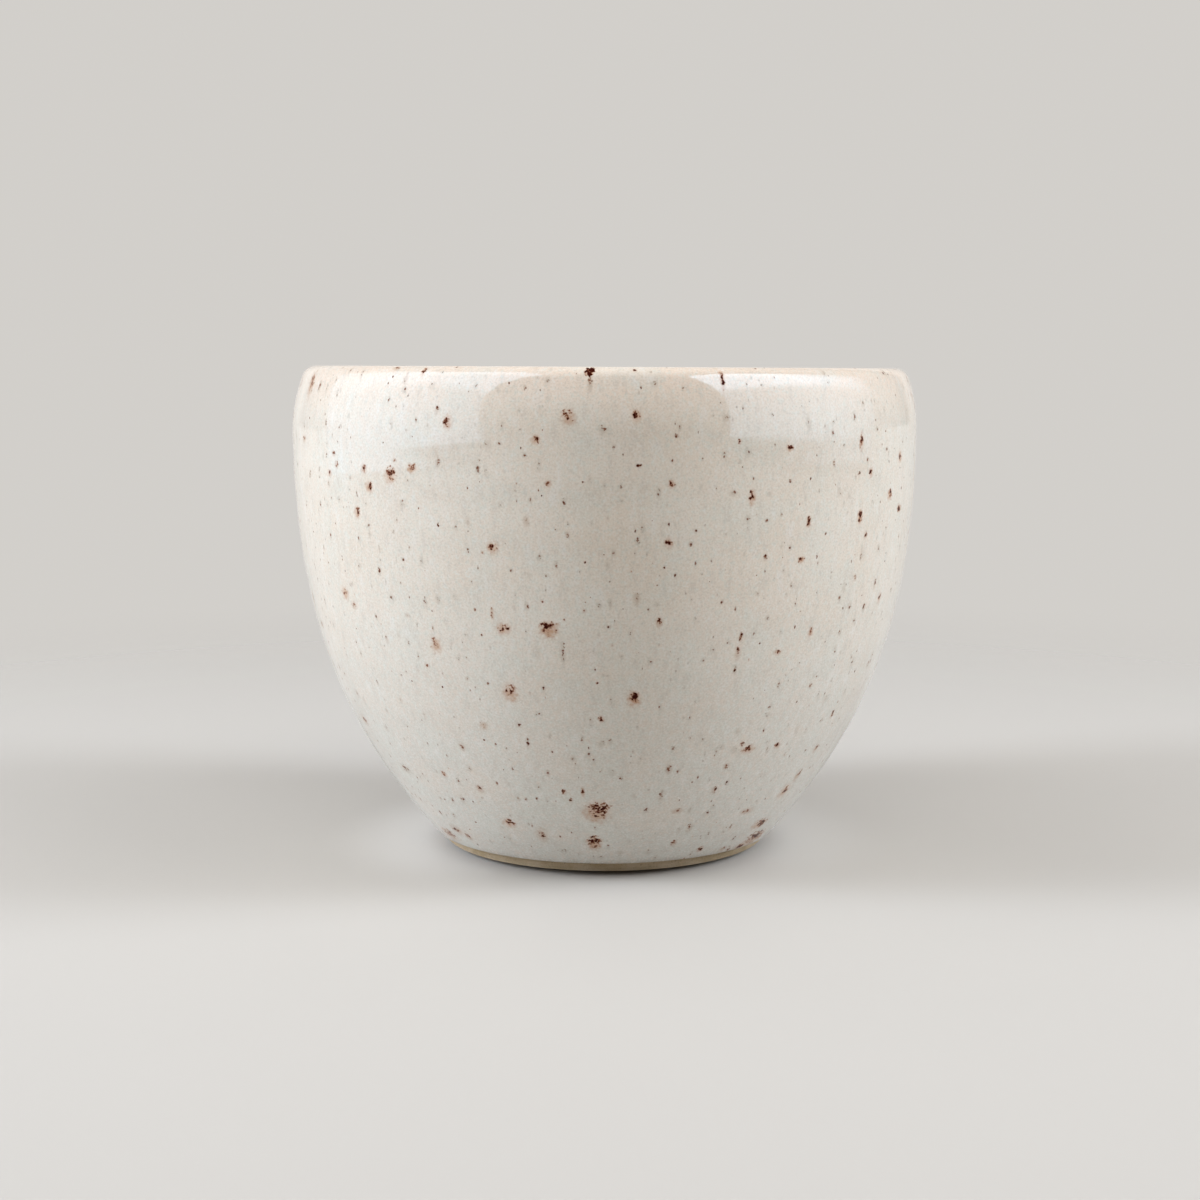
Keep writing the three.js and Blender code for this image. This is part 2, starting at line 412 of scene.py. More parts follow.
# Spots read from the photograph: pixel across, pixel down, width, height and depth.
RIM_SPOTS = (
    (590, 371, 9, 8, 1.9), (590, 383, 6, 20, 0.52), (723, 379, 5, 22, 0.85), (423, 372, 4, 10, 0.7),
    (396, 369, 6, 4, 0.6), (311, 386, 4, 26, 0.7), (635, 370, 5, 3, 0.6),
)
UPPER_LEFT_SPOTS = (
    (447, 423, 9, 15, 0.75), (568, 418, 15, 18, 0.7), (535, 440, 9, 9, 0.8), (524, 456, 5, 5, 0.5),
    (391, 476, 10, 16, 0.9), (412, 469, 9, 9, 0.9), (370, 488, 7, 11, 0.75), (358, 514, 6, 13, 0.7),
    (548, 484, 7, 7, 0.7), (515, 491, 3, 3, 0.5), (526, 522, 6, 13, 0.55), (492, 548, 11, 12, 0.85),
    (482, 553, 4, 4, 0.6), (365, 470, 5, 9, 0.7), (331, 474, 4, 8, 0.7), (395, 461, 4, 5, 0.6),
    (335, 455, 3, 7, 0.6), (306, 440, 3, 8, 0.6), (479, 461, 3, 4, 0.5), (338, 466, 4, 8, 0.6),
    (330, 485, 3, 7, 0.5), (520, 430, 3, 4, 0.4), (500, 505, 4, 6, 0.35), (340, 500, 3, 6, 0.4),
)
UPPER_RIGHT_SPOTS = (
    (636, 416, 10, 12, 0.85), (790, 447, 7, 7, 0.9), (862, 440, 4, 16, 1.0), (672, 484, 7, 8, 0.75),
    (639, 466, 7, 5, 0.5), (753, 497, 7, 15, 0.9), (614, 447, 4, 5, 0.5), (871, 471, 4, 10, 0.9),
    (860, 516, 5, 14, 1.0), (669, 543, 9, 11, 0.8), (809, 521, 5, 11, 0.85), (802, 559, 6, 7, 0.85),
    (766, 557, 4, 8, 0.55), (767, 520, 4, 5, 0.5), (740, 441, 4, 5, 0.7), (900, 455, 3, 13, 0.85),
    (890, 493, 4, 11, 0.95), (899, 507, 4, 8, 0.9), (791, 480, 4, 4, 0.5), (782, 514, 3, 4, 0.5),
    (691, 544, 4, 5, 0.55), (754, 478, 3, 5, 0.4), (868, 458, 2, 8, 0.5), (866, 534, 3, 8, 0.6),
)
LOWER_LEFT_SPOTS = (
    (346, 594, 6, 13, 0.75), (355, 606, 5, 8, 0.6), (436, 646, 10, 15, 0.75), (503, 629, 15, 11, 0.8),
    (548, 630, 19, 17, 0.95), (563, 656, 5, 26, 0.45), (510, 693, 14, 17, 0.8), (427, 666, 5, 5, 0.6),
    (484, 726, 8, 8, 0.6), (462, 747, 6, 8, 0.55), (408, 616, 5, 5, 0.5), (380, 572, 4, 9, 0.5),
    (492, 614, 4, 12, 0.65), (556, 566, 4, 9, 0.5), (552, 752, 4, 4, 0.5), (467, 679, 4, 4, 0.5),
    (519, 725, 5, 5, 0.5), (365, 720, 4, 8, 0.6), (323, 625, 3, 7, 0.6), (584, 611, 4, 4, 0.6),
    (542, 602, 4, 4, 0.6), (475, 610, 3, 4, 0.6), (352, 585, 4, 6, 0.5), (564, 620, 3, 3, 0.6),
)
LOWER_RIGHT_SPOTS = (
    (634, 699, 13, 14, 1.0), (637, 599, 7, 15, 0.55), (659, 622, 7, 11, 0.65), (741, 637, 4, 10, 0.6),
    (738, 652, 6, 16, 0.6), (735, 670, 4, 10, 0.5), (778, 652, 7, 6, 0.65), (779, 684, 4, 7, 0.5),
    (811, 632, 5, 9, 0.75), (758, 593, 5, 5, 0.5), (748, 749, 13, 8, 0.7), (742, 744, 5, 5, 0.6),
    (777, 745, 6, 6, 0.65), (816, 748, 4, 7, 0.6), (832, 714, 3, 8, 0.6), (879, 597, 3, 11, 0.65),
    (601, 719, 6, 6, 0.7), (855, 577, 3, 7, 0.6), (738, 731, 5, 6, 0.35), (840, 632, 3, 7, 0.5),
    (864, 606, 3, 8, 0.5), (768, 618, 4, 6, 0.4), (611, 701, 4, 8, 0.3), (690, 738, 4, 5, 0.4),
)
BOTTOM_SPOTS = (
    (597, 812, 26, 21, 0.82), (594, 843, 15, 13, 0.9), (509, 823, 11, 8, 0.75), (542, 835, 11, 13, 0.6),
    (480, 789, 7, 7, 0.6), (444, 774, 5, 5, 0.7), (406, 769, 8, 7, 0.45), (450, 834, 9, 9, 0.65),
    (457, 830, 9, 8, 0.6), (468, 836, 6, 6, 0.6), (583, 792, 4, 11, 0.65), (519, 799, 4, 4, 0.5),
    (526, 799, 4, 4, 0.5), (564, 792, 5, 5, 0.65), (571, 800, 4, 4, 0.6), (754, 838, 12, 10, 0.8),
    (740, 846, 8, 6, 0.75), (700, 849, 6, 5, 0.7), (722, 849, 6, 5, 0.6), (759, 824, 10, 8, 0.8),
    (747, 811, 11, 6, 0.6), (784, 791, 7, 11, 0.7), (797, 776, 4, 10, 0.6), (661, 796, 5, 12, 0.5),
    (677, 811, 10, 5, 0.6), (646, 810, 6, 6, 0.45), (674, 843, 6, 6, 0.6), (726, 766, 6, 6, 0.55),
    (714, 790, 6, 7, 0.55), (470, 769, 4, 7, 0.45), (463, 800, 5, 8, 0.4), (620, 853, 8, 5, 0.35),
)


def turned_down(away, up):
    """A direction's parts away and up in the view, turned into the frame by the camera's tilt."""
    tilt = math.radians(CAMERA_DOWN_DEGREES)
    return away * math.cos(tilt) + up * math.sin(tilt), up * math.cos(tilt) - away * math.sin(tilt)


def seen_at(pixels, section, lengths):
    """Turn angles and places along the section where the pixels' sight lines meet the outside."""
    middle = PHOTO_SIDE / 2
    across = (pixels[:, 0] - middle) / FOCAL_PIXELS
    forward, upward = turned_down(1.0, (middle - pixels[:, 1]) / FOCAL_PIXELS)
    travel = np.linspace(CAMERA_AWAY - SIGHT_BEFORE, CAMERA_AWAY + SIGHT_BEHIND, SIGHT_STEPS)[:, None]
    x = CAMERA_RIGHT + travel * across
    y = -CAMERA_AWAY + travel * forward
    z = CAMERA_HEIGHT + travel * upward
    skin = np.interp(z, section[:, 1], section[:, 0], right=0)
    within = np.hypot(x, y) <= skin
    found = within.any(0)
    first = within.argmax(0)
    pick = np.arange(len(pixels))
    places = np.interp(z[first, pick], section[:, 1], lengths)
    return np.arctan2(y[first, pick], x[first, pick]), places, found


def photo_spots(section, lengths):
    """The read spots, laid on the outside at their true size."""
    read = np.array(
        RIM_SPOTS + UPPER_LEFT_SPOTS + UPPER_RIGHT_SPOTS
        + LOWER_LEFT_SPOTS + LOWER_RIGHT_SPOTS + BOTTOM_SPOTS,
        float,
    )
    pixels = read[:, :2]
    angle, place, found = seen_at(pixels, section, lengths)
    beside, _, _ = seen_at(pixels + [NUDGE, 0], section, lengths)
    before, _, _ = seen_at(pixels - [NUDGE, 0], section, lengths)
    _, above, _ = seen_at(pixels - [0, NUDGE], section, lengths)
    _, below, _ = seen_at(pixels + [0, NUDGE], section, lengths)
    radius = np.interp(place, lengths, section[:, 0])
    pixel_wide = np.clip((beside - before) * radius / (2 * NUDGE), *PIXEL_WIDE)
    pixel_tall = np.clip((above - below) / (2 * NUDGE), *PIXEL_TALL)
    spots = np.zeros((len(read), SPOT_COLUMNS))
    spots[:, ANGLE] = angle
    spots[:, PLACE] = place
    spots[:, WIDE] = read[:, 2] / 2 * pixel_wide
    spots[:, TALL] = read[:, 3] / 2 * pixel_tall
    spots[:, DEPTH] = read[:, 4] * DEPTH_GAIN
    add_cores(spots)
    return spots[found]


def add_cores(spots):
    """Gives every spot a dark core above its middle, for the glaze runs down; small spots are all core."""
    count = len(spots)
    small = 1 - smooth(*SMALL_SPOT, np.sqrt(spots[:, WIDE] * spots[:, TALL]))
    turn = rng.uniform(*CORE_TURNS, count)
    off = rng.uniform(*CORE_OFF, count) * (1 - small)
    spots[:, CORE_X] = off * np.cos(turn)
    spots[:, CORE_Y] = off * np.sin(turn)
    spots[:, CORE_SIZE] = lerp(rng.uniform(*CORE_SHARES, count), SMALL_CORE_SHARE, small)


def scattered_spots(section, lengths, count, sizes, depths, long_share):
    """Spots strewn evenly over a run, a share of them drawn out downwards by the flow of the glaze."""
    radius = section[:, 0]
    area = np.concatenate([[0], np.cumsum((radius[1:] + radius[:-1]) / 2 * np.diff(lengths))])
    spots = np.zeros((count, SPOT_COLUMNS))
    spots[:, ANGLE] = rng.uniform(0, FULL_TURN, count)
    spots[:, PLACE] = np.interp(rng.uniform(0, area[-1], count), area, lengths)
    size = sizes[0] * (sizes[1] / sizes[0]) ** (rng.uniform(0, 1, count) ** SMALL_BIAS)
    drawn_out = rng.uniform(0, 1, count) < long_share
    long_flow = rng.uniform(*DRAWN_OUT, count)
    round_flow = rng.uniform(*ROUND, count)
    flow = np.where(drawn_out, long_flow, round_flow)
    spots[:, WIDE] = size / np.sqrt(flow)
    spots[:, TALL] = size * np.sqrt(flow)
    spots[:, DEPTH] = rng.uniform(*depths, count)
    add_cores(spots)
    return spots


def turned_between(first, second):
    """Signed angle from second to first, within half a turn."""
    return (first - second + math.pi) % FULL_TURN - math.pi


def clear_of(spots, others, margin):
    """Spots that keep a margin from all the others."""
    keep = np.ones(len(spots), bool)
    for other in others:
        aside = turned_between(spots[:, ANGLE], other[ANGLE]) * MIDDLING_RADIUS
        along = spots[:, PLACE] - other[PLACE]
        keep &= np.hypot(aside, along) > margin + max(other[WIDE], other[TALL])
    return spots[keep]


def with_specks(section, lengths, spots, smudges, dots):
    """The spots, with faint smudges and small dots strewn between them."""
    faint = scattered_spots(section, lengths, smudges, *SMUDGE_KIND)
    small = scattered_spots(section, lengths, dots, *DOT_KIND)
    spots = np.concatenate([spots, clear_of(small, spots, DOT_MARGIN)])
    return np.concatenate([spots, clear_of(faint, spots, SMUDGE_MARGIN)])


def facing_away(spots, half_angle):
    """Spots outside the part of the turn that the photograph shows."""
    return spots[abs(turned_between(spots[:, ANGLE], -math.pi / 2)) > half_angle]


def spot_layers(section, lengths, spots):
    """Offsets from the nearest spot and that spot's core, for the corners of every face of a run."""
    rows = len(lengths) - 1
    step = FULL_TURN / TURNS
    middle_place = (lengths[1:] + lengths[:-1]) / 2
    middle_angle = (np.arange(TURNS) + 0.5) * step
    spot_radius = np.interp(spots[:, PLACE], lengths, section[:, 0])
    nearest = np.full((rows, TURNS), np.inf)
    owner = np.full((rows, TURNS), -1)
    for number, spot in enumerate(spots):
        reach = SPOT_REACH * spot[[WIDE, TALL]] + FINE_STEP
        near_rows = np.flatnonzero(abs(middle_place - spot[PLACE]) < reach[1])
        half = int(reach[0] / max(spot_radius[number], LEAST_RADIUS) / step) + SPARE_FACES
        near_columns = (int(spot[ANGLE] / step) + np.arange(-half, half + 1)) % TURNS
        aside = turned_between(middle_angle[near_columns], spot[ANGLE]) * spot_radius[number]
        along = middle_place[near_rows] - spot[PLACE]
        distance = np.hypot(aside[None] / spot[WIDE], along[:, None] / spot[TALL])
        distance = (distance - 1) * min(spot[WIDE], spot[TALL])
        block = np.ix_(near_rows, near_columns)
        closer = distance < nearest[block]
        nearest[block] = np.where(closer, distance, nearest[block])
        owner[block] = np.where(closer, number, owner[block])
    row, column = np.divmod(np.arange(rows * TURNS), TURNS)
    corner_place = lengths[row[:, None] + [0, 0, 1, 1]]
    corner_angle = (column[:, None] + [0, 1, 1, 0]) * step
    number = owner.ravel()
    spot = spots[number][:, None]
    aside = turned_between(corner_angle, spot[..., ANGLE]) * spot_radius[number][:, None] / spot[..., WIDE]
    along = (corner_place - spot[..., PLACE]) / spot[..., TALL]
    depth = np.broadcast_to(spot[..., DEPTH], aside.shape)
    offsets = np.stack([aside, along, depth], -1)
    cores = np.broadcast_to(spot[..., [CORE_X, CORE_Y, CORE_SIZE]], offsets.shape)
    bare = number < 0
    offsets[bare] = FAR_FROM_SPOTS
    return offsets, cores


def set_corners(mesh, name, elsewhere, values):
    """Writes a corner layer that starts with the given values and holds one value from there on."""
    layer = mesh.attributes.new(name, "FLOAT_VECTOR", "CORNER")
    flat = np.full((len(mesh.loops), 3), elsewhere, float)
    flat[:len(values)] = values
    layer.data.foreach_set("vector", flat.ravel())


# The map for baked colour: two half turns of the shown rings, one above the other,
# and a strip for the rest.
MAP_MARGIN = 0.006
MAP_HALF_HEIGHT = 0.47
MAP_STRIP_HEIGHT = 0.03


def set_map(mesh, rings, closed, shown_lengths):
    """Writes a swept mesh's map. Its first rings, at the given lengths along the section, are shown."""
    shown_rows = len(shown_lengths) - 1
    rows = len(rings) if closed else len(rings) - 1
    shares = shown_lengths / shown_lengths[-1]
    column = np.arange(TURNS)[:, None]
    half = TURNS // 2
    second = column >= half
    corners = []
    for row in range(rows):
        wide = len(rings[row]) > 1, len(rings[(row + 1) % len(rings)]) > 1
        if wide == (True, True):
            side, rise = np.array([0, 1, 1, 0]), np.array([0, 0, 1, 1])
        elif wide == (True, False):
            side, rise = np.array([0, 1, 0.5]), np.array([0, 0, 1])
        elif wide == (False, True):
            side, rise = np.array([0.5, 1, 0]), np.array([0, 1, 1])
        else:
            continue
        if row < shown_rows:
            across = (column - half * second + side) / half
            up = lerp(shares[row], shares[row + 1], rise) * MAP_HALF_HEIGHT
            up = up + MAP_MARGIN + second * (MAP_HALF_HEIGHT + MAP_MARGIN)
        else:
            across = (column + side) / TURNS
            up = (row - shown_rows + rise + 0 * column) / (rows - shown_rows) * MAP_STRIP_HEIGHT
            up = up + 2 * MAP_HALF_HEIGHT + 3 * MAP_MARGIN
        corners.append(np.stack([lerp(MAP_MARGIN, 1 - MAP_MARGIN, across), up], -1).reshape(-1, 2))
    layer = mesh.uv_layers.new(name="OFBake")
    layer.data.foreach_set("uv", np.concatenate(corners).ravel())


def build_coat(name, face, grid, normals, behind, spots):
    """A coat's closed mesh: its face's swept rings, with their normals and spots, then those behind it."""
    lengths = run_lengths(face)
    rings = ring_list(np.concatenate([grid, behind]))
    mesh = sweep_mesh(name, rings, True)
    shown = rings[:len(grid)]
    last_corners = 4 if len(shown[-1]) > 1 else 3
    layers = spot_layers(face, lengths, spots)
    for layer_name, elsewhere, layer in zip(SPOT_LAYERS, (FAR_FROM_SPOTS, NO_CORE), layers):
        layer = layer.reshape(len(shown) - 1, TURNS, 4, 3)
        corners = [layer[:-1].reshape(-1, 3), layer[-1][:, :last_corners].reshape(-1, 3)]
        set_corners(mesh, layer_name, elsewhere, np.concatenate(corners))
    face_normals = np.concatenate([around[:len(ring)] for ring, around in zip(shown, normals)])
    all_normals = np.zeros((len(mesh.vertices), 3))
    all_normals[:len(face_normals)] = face_normals
    mesh.normals_split_custom_set_from_vertices(all_normals.tolist())
    set_map(mesh, rings, True, lengths)
    return mesh


def link(mesh, material, node):
    piece = bpy.data.objects.new(mesh.name, mesh)
    bpy.context.collection.objects.link(piece)
    mesh.materials.append(material)
    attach(piece, "root")
    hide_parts(node)


class Nodes:
    """A node tree in the making. Inputs are sockets or plain values."""

    def __init__(self, tree):
        self.tree = tree

    def node(self, kind, inputs, **settings):
        made = self.tree.nodes.new(kind)
        for name, value in settings.items():
            setattr(made, name, value)
        for name, value in inputs.items():
            self.put(made.inputs[name], value)
        return made

    def put(self, socket, value):
        if isinstance(value, bpy.types.NodeSocket):
            self.tree.links.new(value, socket)
        else:
            socket.default_value = value

    def maths(self, operation, *values):
        return self.node("ShaderNodeMath", dict(enumerate(values)), operation=operation).outputs[0]

    def step(self, value, low, high, start=0.0, end=1.0):
        inputs = {"Value": value, "From Min": low, "From Max": high, "To Min": start, "To Max": end}
        return self.node("ShaderNodeMapRange", inputs, interpolation_type="SMOOTHSTEP").outputs[0]


class Shader(Nodes):
    """A node material, with places in millimetres from the cup's foot."""

    def __init__(self, name):
        self.material = bpy.data.materials.new(name)
        self.material.use_nodes = True
        super().__init__(self.material.node_tree)
        self.surface = self.tree.nodes["Principled BSDF"]
        metres = self.tree.nodes.new("ShaderNodeTexCoord").outputs["Object"]
        inputs = {0: metres, "Scale": 1 / MM}
        self.place = self.node("ShaderNodeVectorMath", inputs, operation="SCALE").outputs[0]
        self.split = self.node("ShaderNodeSeparateXYZ", {0: self.place}).outputs
        self.height = self.split["Z"]

    def mix(self, factor, first, second, blend="MIX"):
        made = self.node("ShaderNodeMix", {0: factor}, data_type="RGBA", blend_type=blend)
        for socket, value in ((made.inputs[6], first), (made.inputs[7], second)):
            self.put(socket, value if isinstance(value, bpy.types.NodeSocket) else (*value, 1))
        return made.outputs[2]

    def noise(self, size, detail=2.0, stretch=None):
        """Noise of the given grain in millimetres, drawn out upwards where stretch is given."""
        place = self.place
        if stretch:
            place = self.node("ShaderNodeMapping", {0: place, "Scale": (1, 1, 1 / stretch)}).outputs[0]
        inputs = {"Vector": place, "Scale": 1 / size, "Detail": detail}
        return self.node("ShaderNodeTexNoise", inputs).outputs["Fac"]

    def swayed(self, base, value, spread):
        """The base, moved by the spread times the value's distance from one half."""
        return self.maths("MULTIPLY_ADD", value, spread, self.maths("ADD", base, -spread / 2))

    def layer(self, name):
        found = self.node("ShaderNodeAttribute", {}, attribute_name=name).outputs["Vector"]
        return self.node("ShaderNodeSeparateXYZ", {0: found}).outputs

    def length(self, x, y):
        vector = self.node("ShaderNodeCombineXYZ", {0: x, 1: y}).outputs[0]
        return self.node("ShaderNodeVectorMath", {0: vector}, operation="LENGTH").outputs["Value"]

    def bump(self, height, distance):
        inputs = {"Height": height, "Distance": distance * MM, "Strength": 1.0}
        self.put(self.surface.inputs["Normal"], self.node("ShaderNodeBump", inputs).outputs[0])


# Heights between which the clay warms the thin glaze on the lip, which is also lightened there with
# painted light, and darkens it above its stop line, deepened there with painted shade near the foot, and
# those between which the thick glaze low down thins out, outside and inside.
LIP_WARMTH_AND_LIGHT = (62.5, 69.8)
STOP_THIN_AND_SHADE = (1.5, 3.2)
OUTER_THICK = (8, 46)
LINER_THICK = (8, 20)

# Glaze colours, linear.
GLAZE_WARM = (0.804, 0.688, 0.554)
GLAZE_MILK = (0.814, 0.723, 0.599)
GLAZE_LOW = (0.714, 0.663, 0.576)
# Warm thin glaze on the lip, lightened with painted light.
GLAZE_LIP_AND_PAINTED_LIGHT = (0.900, 0.715, 0.565)
# Clay through the thin glaze above its stop line, with painted shade near the foot.
GLAZE_THIN_AND_SHADE = (0.380, 0.305, 0.220)
GLAZE_PALE = (0.870, 0.825, 0.765)
GLAZE_DUSKY = (0.600, 0.525, 0.440)
GLAZE_ROSY = (0.797, 0.660, 0.533)
GLAZE_GREEN = (0.722, 0.708, 0.615)
SPOT_FAINT = (0.500, 0.395, 0.290)
SPOT_STAIN = (0.580, 0.330, 0.195)
SPOT_RUST = (0.230, 0.085, 0.045)
SPOT_DARK = (0.042, 0.005, 0.002)

# Clouds in the glaze, the ragged edges of its warm lip with painted light and of its thin glaze with
# painted shade, and how far those parts tell.
CLOUD_SIZE, CLOUD_MILK = 11, (0.38, 0.62)
RAGGED_SIZE, RAGGED_SWAY, STOP_RAGGED = 1.6, 2.0, 0.35
RUN_STRETCH = 3
LOW_SHARE, LIP_SHARE, STOP_SHARE = 0.9, 0.8, 0.85

# Tones, streaks and grain: each noise's size, detail, stretch and strength, and the colours that it
# brings in where it is high and where it is low, with the values between which they come.
MOTTLES = (
    (0.55, 3, None, 0.48, (0.50, 0.68), GLAZE_ROSY, (0.50, 0.32), GLAZE_GREEN),
    (5.5, 4, None, 0.34, (0.50, 0.68), GLAZE_ROSY, (0.50, 0.32), GLAZE_GREEN),
    (1.1, 4, RUN_STRETCH, 0.32, (0.52, 0.75), GLAZE_PALE, (0.48, 0.25), GLAZE_DUSKY),
    (0.26, 3, None, 0.50, (0.48, 0.74), GLAZE_DUSKY, (0.50, 0.28), GLAZE_PALE),
)

# Iron in a spot: the even part of its core, its fall from there, and how far its ragged edge, dots,
# chance and grain sway it.
CORE_EVEN, CORE_FALL = 0.35, -0.75
EDGE_SIZE, EDGE_SWAY = 0.55, 2.2
DOT_SIZE, DOT_SWAY = 0.40, -0.9
CHANCE_SWAY = 0.5
IRON_SIZE, IRON_SWAY = 0.3, 1.6

# Where the parts of a spot set in: by the distance from its middle, its depth or the iron in it.
IRON_ENDS, STAIN_RISES = (0.95, 1.5), (1.5, 0.2)
STAIN_DEEPENS = (0.45, 0.85)
IRON_STAINS, RUST_RISES, DARK_RISES = (-0.05, 0.55), (0.30, 0.70), (0.70, 1.00)
STAIN_STRENGTH = 0.85

# The glaze's gloss and gentle waves, and how much duller, rougher and lower an iron spot is.
GLOSS_SIZE = 3.5
GLAZE_ROUGHNESS = (0.03, 0.06)
SPOT_ROUGHER = 0.25
GLAZE_SPECULAR, SPOT_DULLER = 0.5, -0.47
GLAZE_IOR = 1.5
WAVE_SIZE, WAVE_STRETCH = 5, 2
SPOT_SUNK = -0.8
GLAZE_BUMP = 0.006


def glaze_base(s, low_from, low_to):
    """Milky glaze, mottled and faintly run: warm over the lip and lightened there with painted light,
    darker above its stop line from thin glaze and painted shade, and cool where it lies thick, low down.
    """
    colour = s.mix(s.step(s.noise(CLOUD_SIZE, 3), *CLOUD_MILK), GLAZE_WARM, GLAZE_MILK)
    colour = s.mix(s.step(s.height, low_from, low_to, LOW_SHARE, 0.0), colour, GLAZE_LOW)
    ragged = s.noise(RAGGED_SIZE, 3, RUN_STRETCH)
    ragged = s.maths("MULTIPLY_ADD", ragged, RAGGED_SWAY, -RAGGED_SWAY / 2)
    # Warm glaze on the lip, lightened with painted light.
    warm_and_lit = s.step(s.maths("ADD", s.height, ragged), *LIP_WARMTH_AND_LIGHT, 0.0, LIP_SHARE)
    colour = s.mix(warm_and_lit, colour, GLAZE_LIP_AND_PAINTED_LIGHT)
    # Darker towards the stop line: thin glaze, with painted shade near the foot.
    thin_and_shade = s.step(s.maths("MULTIPLY_ADD", ragged, STOP_RAGGED, s.height), *STOP_THIN_AND_SHADE, STOP_SHARE, 0.0)
    colour = s.mix(thin_and_shade, colour, GLAZE_THIN_AND_SHADE)
    for size, detail, stretch, strength, high, high_colour, low, low_colour in MOTTLES:
        mottle = s.noise(size, detail, stretch)
        colour = s.mix(s.step(mottle, *high, 0.0, strength), colour, high_colour)
        colour = s.mix(s.step(mottle, *low, 0.0, strength), colour, low_colour)
    return colour


def glaze_material(name, low_from, low_to):
    """Glossy glaze with iron spots: stains, and dark dots that run together round each spot's core."""
    s = Shader(name)
    colour = glaze_base(s, low_from, low_to)
    offset, core = (s.layer(layer_name) for layer_name in SPOT_LAYERS)
    ragged = s.maths("MULTIPLY_ADD", s.noise(EDGE_SIZE, 4), EDGE_SWAY, -EDGE_SWAY / 2)
    edge = s.maths("ADD", s.length(offset[0], offset[1]), ragged)
    aside = s.maths("SUBTRACT", offset[0], core[0])
    along = s.maths("SUBTRACT", offset[1], core[1])
    from_core = s.maths("DIVIDE", s.maths("ADD", s.length(aside, along), ragged), core[2])
    outlying = s.maths("MAXIMUM", s.maths("SUBTRACT", from_core, CORE_EVEN), 0.0)
    cells = s.node("ShaderNodeTexVoronoi", {"Vector": s.place, "Scale": 1 / DOT_SIZE}).outputs
    chance = s.node("ShaderNodeSeparateXYZ", {0: cells["Color"]}).outputs[0]
    iron = s.maths("MULTIPLY_ADD", outlying, CORE_FALL, offset[2])
    iron = s.swayed(iron, cells["Distance"], DOT_SWAY)
    iron = s.swayed(iron, chance, CHANCE_SWAY)
    iron = s.swayed(iron, s.noise(IRON_SIZE, 3), IRON_SWAY)
    iron = s.maths("SUBTRACT", iron, s.step(edge, *IRON_ENDS, 0.0, 2.0))
    stain = s.maths("MULTIPLY", s.step(edge, *STAIN_RISES, 0.0, STAIN_STRENGTH), offset[2])
    stain = s.maths("MAXIMUM", stain, s.step(iron, *IRON_STAINS, 0.0, STAIN_STRENGTH))
    colour = s.mix(stain, colour, s.mix(s.step(offset[2], *STAIN_DEEPENS), SPOT_FAINT, SPOT_STAIN))
    rust = s.step(iron, *RUST_RISES)
    colour = s.mix(rust, colour, SPOT_RUST)
    colour = s.mix(s.step(iron, *DARK_RISES), colour, SPOT_DARK)
    s.put(s.surface.inputs["Base Color"], colour)

    gloss = s.step(s.noise(GLOSS_SIZE, 3), 0.3, 0.7, *GLAZE_ROUGHNESS)
    s.put(s.surface.inputs["Roughness"], s.maths("MULTIPLY_ADD", rust, SPOT_ROUGHER, gloss))
    specular = s.maths("MULTIPLY_ADD", rust, SPOT_DULLER, GLAZE_SPECULAR)
    s.put(s.surface.inputs["Specular IOR Level"], specular)
    s.surface.inputs["IOR"].default_value = GLAZE_IOR
    waves = s.noise(WAVE_SIZE, 1, WAVE_STRETCH)
    s.bump(s.maths("MULTIPLY_ADD", rust, SPOT_SUNK, waves), GLAZE_BUMP)
    return s.material


CLAY_TAN = (0.43, 0.313, 0.177)
CLAY_DARK = (0.22, 0.16, 0.105)
CLAY_PALE = (0.55, 0.418, 0.270)
SAND_SIZE = 0.22
CLAY_LINES = 2.2  # turning lines in a millimetre
CLAY_BUMP = 0.06


def clay_material(name):
    """Bare fired stoneware: tan and sandy, with turning lines and iron specks."""
    s = Shader(name)
    outwards = s.maths("MULTIPLY", s.length(s.split[0], s.split[1]), CLAY_LINES)
    upwards = s.maths("MULTIPLY", s.height, CLAY_LINES)
    turning = s.node("ShaderNodeCombineXYZ", {0: outwards, 1: upwards}).outputs[0]
    inputs = {"Vector": turning, "Scale": 1.0, "Detail": 3.0}
    lines = s.node("ShaderNodeTexNoise", inputs).outputs["Fac"]
    sand = s.noise(SAND_SIZE, 3)
    colour = s.mix(s.step(s.noise(4, 3), 0.35, 0.65), CLAY_TAN, CLAY_PALE)
    colour = s.mix(s.step(lines, 0.5, 0.75, 0.0, 0.5), colour, CLAY_DARK)
    colour = s.mix(s.step(sand, 0.58, 0.75, 0.0, 0.7), colour, CLAY_DARK)
    colour = s.mix(s.step(sand, 0.42, 0.3, 0.0, 0.5), colour, CLAY_PALE)
    s.put(s.surface.inputs["Base Color"], colour)
    s.put(s.surface.inputs["Roughness"], s.step(sand, 0.3, 0.7, 0.75, 0.95))
    s.bump(s.maths("MULTIPLY_ADD", lines, 1.2, sand), CLAY_BUMP)
    return s.material


outside = outside_run()
inside = inside_run()
outer_face = outside.over()
inner_face = inside.over()
outer_lengths = run_lengths(outer_face)
inner_lengths = run_lengths(inner_face)

read_spots = photo_spots(outer_face, outer_lengths)
back_spots = scattered_spots(outer_face, outer_lengths, BACK_SPOTS, *SPOT_KIND, BACK_LONG)
outer_spots = np.concatenate([read_spots, facing_away(back_spots, PHOTO_HALF_ANGLE)])
outer_spots = with_specks(outer_face, outer_lengths, outer_spots, *OUTER_SPECKS)
inner_spots = scattered_spots(inner_face, inner_lengths, INNER_SPOTS, *SPOT_KIND, INNER_LONG)
inner_spots = with_specks(inner_face, inner_lengths, inner_spots, *INNER_SPECKS)

